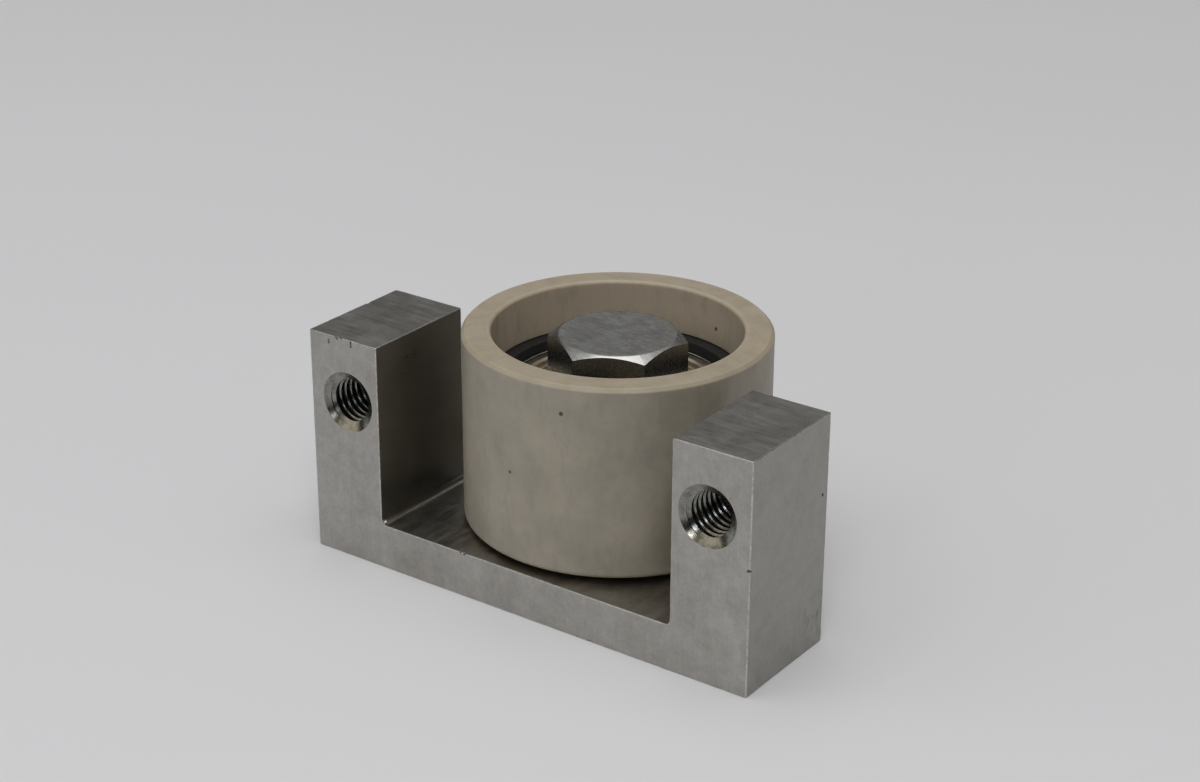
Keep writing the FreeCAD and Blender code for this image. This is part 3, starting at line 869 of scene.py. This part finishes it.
# ---------------------------------------------------------------- bearing
def race_arc(row, ring_side, steps=14):
    """Points of a ball groove, from bottom to top; ring_side 1 is the outer ring, -1 the inner."""
    land = OUTER_LAND_RADIUS if ring_side > 0 else INNER_LAND_RADIUS
    half = math.degrees(math.acos(abs(land - PITCH_RADIUS) / RACE_RADIUS))
    points = arc(PITCH_RADIUS, BEARING_MID + row * ROW_OFFSET, RACE_RADIUS, -half, half, steps)
    if ring_side > 0:
        return points
    return [(2 * PITCH_RADIUS - r, z) for r, z in points]


def bearing_piece(name, profile, segments, material, body, node, angle=35):
    bm = bmesh.new()
    lathe(bm, profile, segments)
    piece = mesh_object(name, bm, (material,))
    smooth(piece, angle)
    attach(piece, body)
    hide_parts(node)
    return piece


def build_outer_ring():
    low, high = BEARING_LOW.z, BEARING_TOP
    seat = SHIELD_SEAT_DEPTH
    outside = rounded([
        (SHIELD_SEAT_RADIUS, high - seat, 0), (SHIELD_SEAT_RADIUS, high, 0.15), (BEARING_RADIUS, high, 0.6),
        (BEARING_RADIUS, low, 0.6), (SHIELD_SEAT_RADIUS, low, 0.15), (SHIELD_SEAT_RADIUS, low + seat, 0),
    ])
    inside = [(OUTER_LAND_RADIUS, low + seat)] + race_arc(-1, 1) + race_arc(1, 1)
    inside.append((OUTER_LAND_RADIUS, high - seat))
    bearing_piece(
        "outer_race_ring", outside + inside, 192, GROUND, "roller", "bearing_outer_ring")


def build_inner_ring():
    low, high = BEARING_LOW.z, BEARING_TOP
    outside = race_arc(-1, -1) + race_arc(1, -1)
    corners = rounded([
        (INNER_LAND_RADIUS, high, 0.35), (BEARING_BORE, high, 0.6),
        (BEARING_BORE, low, 0.6), (INNER_LAND_RADIUS, low, 0.35),
    ])
    bearing_piece(
        "inner_race_ring", corners + outside, 160, GROUND, "frame", "bearing_inner_ring")


def build_shields():
    """Pressed covers: rim in the seat, a rounded bright lip, then a dished disc."""
    t = SHIELD_THICKNESS
    seat = BEARING_TOP - SHIELD_SEAT_DEPTH
    disc = BEARING_TOP - SHIELD_RECESS
    lip = disc + SHIELD_LIP_RISE
    upper = rounded([
        (SHIELD_SEAT_RADIUS, seat, 0), (SHIELD_SEAT_RADIUS, seat + t, 0.05), (19.9, seat + t, 0.08),
        (19.9, lip, 0.2), (19.0, lip, 0.25), (18.6, disc, 0.15),
        (17.1, disc, 0.3), (16.7, disc - 0.12, 0.3), (15.4, disc - 0.12, 0.2), (15.1, disc, 0.2),
        (SHIELD_INNER, disc, 0.12), (SHIELD_INNER, disc - t, 0.05), (19.0, disc - t, 0), (19.55, seat, 0),
    ])
    lower = [(r, 2 * BEARING_MID - z) for r, z in upper]
    bearing_piece("upper_shield_disc", upper, 192, SHIELD, "roller", "upper_shield")
    bearing_piece("lower_shield_disc", lower, 192, SHIELD, "roller", "lower_shield")


# ---------------------------------------------------------------- retaining rings
def clip_outline():
    """Outline of an internal retaining ring: round outside, offset inside, two lugs beside the gap."""
    gap = CLIP_GAP
    lug = CLIP_GAP + 2 * CLIP_LUG
    outline = [Vector(p) for p in arc(0, 0, CLIP_OUTER, gap, 360 - gap, 150)]
    for side in (-1, 1):
        lug_side = [
            Vector((CLIP_LUG_INNER * math.cos(math.radians(a)), CLIP_LUG_INNER * math.sin(math.radians(a))))
            for a in (side * gap, side * (gap + CLIP_LUG * 0.66), side * (gap + CLIP_LUG * 1.33), side * lug)
        ]
        if side < 0:
            outline += lug_side
            inner = arc(CLIP_OFFSET, 0, CLIP_INNER, 360 - lug, lug, 130)
            outline += [Vector(p) for p in inner]
        else:
            outline += lug_side[::-1]
    turn = Matrix.Rotation(math.radians(CLIP_TURN), 2)
    return [turn @ p for p in outline]


def clip_holes():
    """Plier holes of the lugs."""
    turns = [math.radians(CLIP_TURN + side * (CLIP_GAP + CLIP_LUG)) for side in (-1, 1)]
    return [Vector((math.cos(a), math.sin(a))) * CLIP_HOLE_PITCH for a in turns]


def build_clip(name, node, low):
    """Stamped ring with pierced lugs and slightly rolled edges."""
    bm = bmesh.new()
    prism(bm, [tuple(p) for p in clip_outline()], low, low + CLIP_THICKNESS, about_axis)
    ring = mesh_object(name, bm, (BLACK,))
    for hole in clip_holes():
        bm = bmesh.new()
        lathe(
            bm, [(0, low - 1), (CLIP_HOLE, low - 1), (CLIP_HOLE, low + CLIP_THICKNESS + 1),
                 (0, low + CLIP_THICKNESS + 1)], 32,
            lambda x, y, z, hole=hole: about_axis(hole.x + x, hole.y + y, z))
        combine(ring, mesh_object("plier_hole", bm, (BLACK,)), "DIFFERENCE")
    rim = ring.modifiers.new("rolled edges", "BEVEL")
    rim.width = 0.12 * MM
    rim.segments = 2
    rim.limit_method = "ANGLE"
    rim.angle_limit = math.radians(50)
    apply_modifiers(ring)
    smooth(ring, 35)
    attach(ring, "roller")
    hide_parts(node)


# ---------------------------------------------------------------- pieces that keep their CAD mesh
def dress_hidden_pieces():
    finishes = {
        "upper_balls": BALLS, "lower_balls": BALLS, "upper_cage": CAGE, "lower_cage": CAGE,
        "bearing_sleeve": TURNED, "base_spacer": TURNED,
    }
    for node, material in finishes.items():
        piece = frame["nodes"][node]
        for mesh_slot in piece.material_slots:
            mesh_slot.material = material


# ---------------------------------------------------------------- stage
CAMERA_AT = Vector((240.08, -321.70, 218.35)) * MM
CAMERA_TARGET = Vector((9.0, 0.0, 43.9)) * MM
CAMERA_ROLL = math.radians(0.23)
CAMERA_LENS = 71.55


def build_camera():
    data = bpy.data.cameras.new("camera")
    data.lens = CAMERA_LENS
    data.sensor_width = 36.0
    data.clip_start = 0.01
    camera = bpy.data.objects.new("camera", data)
    toward = (CAMERA_TARGET - CAMERA_AT).to_track_quat("-Z", "Y").to_matrix().to_4x4()
    camera.matrix_world = Matrix.Translation(CAMERA_AT) @ toward @ Matrix.Rotation(CAMERA_ROLL, 4, "Z")
    bpy.context.scene.collection.objects.link(camera)
    bpy.context.scene.camera = camera


def build_floor():
    bm = bmesh.new()
    bmesh.ops.create_grid(bm, x_segments=8, y_segments=8, size=FLOOR_HALF)
    floor = mesh_object("floor", bm, (pale_sweep(),))


def direction(azimuth, elevation):
    """Unit vector; azimuth 0 is the bracket's front, -Y, and 90 its right end, +X."""
    a, e = math.radians(azimuth), math.radians(elevation)
    return Vector((math.sin(a) * math.cos(e), -math.cos(a) * math.cos(e), math.sin(e)))


def soft_box(name, azimuth, elevation, distance, size, radiance, color=(1.0, 1.0, 1.0)):
    """Square soft light that faces the origin."""
    data = bpy.data.lights.new(name, "AREA")
    data.shape = "SQUARE"
    data.size = size
    data.energy = radiance * math.pi * size * size
    data.color = color
    light = bpy.data.objects.new(name, data)
    light.location = direction(azimuth, elevation) * distance
    light.rotation_euler = (-light.location).to_track_quat("-Z", "Y").to_euler()
    bpy.context.scene.collection.objects.link(light)


def world_glow(tree, toward, low, high, strength):
    """Part of the room's light that grows as the sky direction nears a given one."""
    place = tree.nodes.new("ShaderNodeTexCoord")
    near = tree.nodes.new("ShaderNodeVectorMath")
    near.operation = "DOT_PRODUCT"
    near.inputs[1].default_value = toward
    ramp = tree.nodes.new("ShaderNodeMapRange")
    ramp.interpolation_type = "SMOOTHSTEP"
    ramp.inputs["From Min"].default_value = low
    ramp.inputs["From Max"].default_value = high
    ramp.inputs["To Max"].default_value = strength
    tree.links.new(place.outputs["Generated"], near.inputs[0])
    tree.links.new(near.outputs["Value"], ramp.inputs["Value"])
    return ramp.outputs["Result"]


def build_surroundings():
    """A dim room with a pale ceiling."""
    world = bpy.data.worlds.new("studio")
    bpy.context.scene.world = world
    world.use_nodes = True
    tree = world.node_tree
    glows = [
        world_glow(tree, (0, 0, 1), 0.35, 0.9, 0.38),
        world_glow(tree, direction(90, 10), 0.3, 0.95, 0.13),
        world_glow(tree, direction(180, 15), 0.3, 0.95, 0.13),
        world_glow(tree, direction(-90, 10), 0.3, 0.95, 0.05),
    ]
    total = glows[0]
    for glow in glows[1:]:
        plus = tree.nodes.new("ShaderNodeMath")
        tree.links.new(total, plus.inputs[0])
        tree.links.new(glow, plus.inputs[1])
        total = plus.outputs["Value"]
    tree.links.new(total, tree.nodes["Background"].inputs["Strength"])
    tree.nodes["Background"].inputs["Color"].default_value = (1.0, 1.0, 1.0, 1.0)


def set_tone():
    """Camera-like response: straight, except that the darks fall off a little faster."""
    view = bpy.context.scene.view_settings
    view.view_transform = "Standard"
    view.use_curve_mapping = True
    curve = view.curve_mapping.curves[3]
    for dark, shown in ((0.03, 0.0155), (0.1, 0.079), (0.3, 0.281)):
        curve.points.new(dark, shown)
    view.curve_mapping.update()


FLOOR_HALF = 2500.0

build_bracket()
build_roller()
build_bolt()
build_outer_ring()
build_inner_ring()
build_shields()
build_clip("upper_snap_ring", "upper_retaining_ring", BEARING_TOP)
build_clip("lower_snap_ring", "lower_retaining_ring", BEARING_LOW.z - CLIP_THICKNESS)
dress_hidden_pieces()
build_floor()
build_surroundings()
set_tone()
soft_box("overhead", 0, 90, 2.0, 1.6, 1.22)
soft_box("lamp", 7, 21, 1.8, 0.25, 5.5, (0.92, 0.97, 1.08))
soft_box("key", 35, 48, 1.8, 0.7, 4.8)
soft_box("fill_left", -40, 38, 2.0, 2.0, 0.53)
build_camera()
